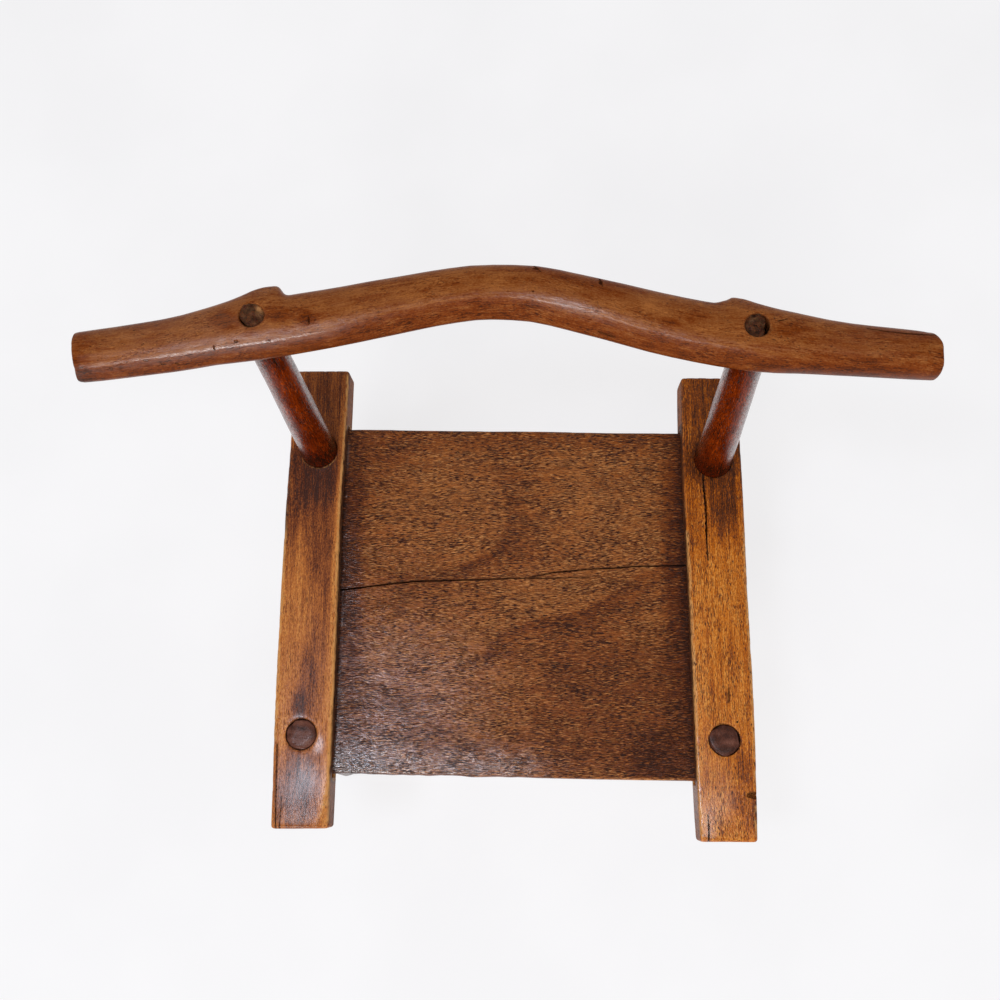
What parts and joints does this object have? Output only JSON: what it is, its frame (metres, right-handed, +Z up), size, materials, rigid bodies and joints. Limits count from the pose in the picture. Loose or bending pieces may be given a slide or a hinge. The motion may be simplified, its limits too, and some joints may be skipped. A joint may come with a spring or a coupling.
{
  "type": "low chair",
  "caption": "Low wooden chair: a plank seat housed between side rails on raked round legs, with leaning back posts that carry a wide bowed backrest bar.",
  "frame": {"origin": "On the floor, midway along the chair's width and its depth.", "axes": "X runs from the sitter's right-hand rail at -X to the left-hand rail at +X along the backrest, Y points to the back of the chair, Z points up."},
  "size_m": [0.7214, 0.484, 0.54],
  "materials": {
    "seat_wood": "dark red-brown plank, waxed and worn",
    "rail_wood": "golden brown hewn wood with dark stains, satin",
    "leg_wood": "dark brown hewn wood, satin",
    "post_wood": "dark red-brown wood, polished by hands",
    "backrest_wood": "warm brown wood, polished by hands"
  },
  "bodies": {
    "root": {"seat_board": "seat_wood", "left_rail": "rail_wood", "right_rail": "rail_wood", "left_front_leg": "leg_wood", "right_front_leg": "leg_wood", "left_back_post": "post_wood", "right_back_post": "post_wood", "backrest": "backrest_wood"}
  },
  "joints": []
}
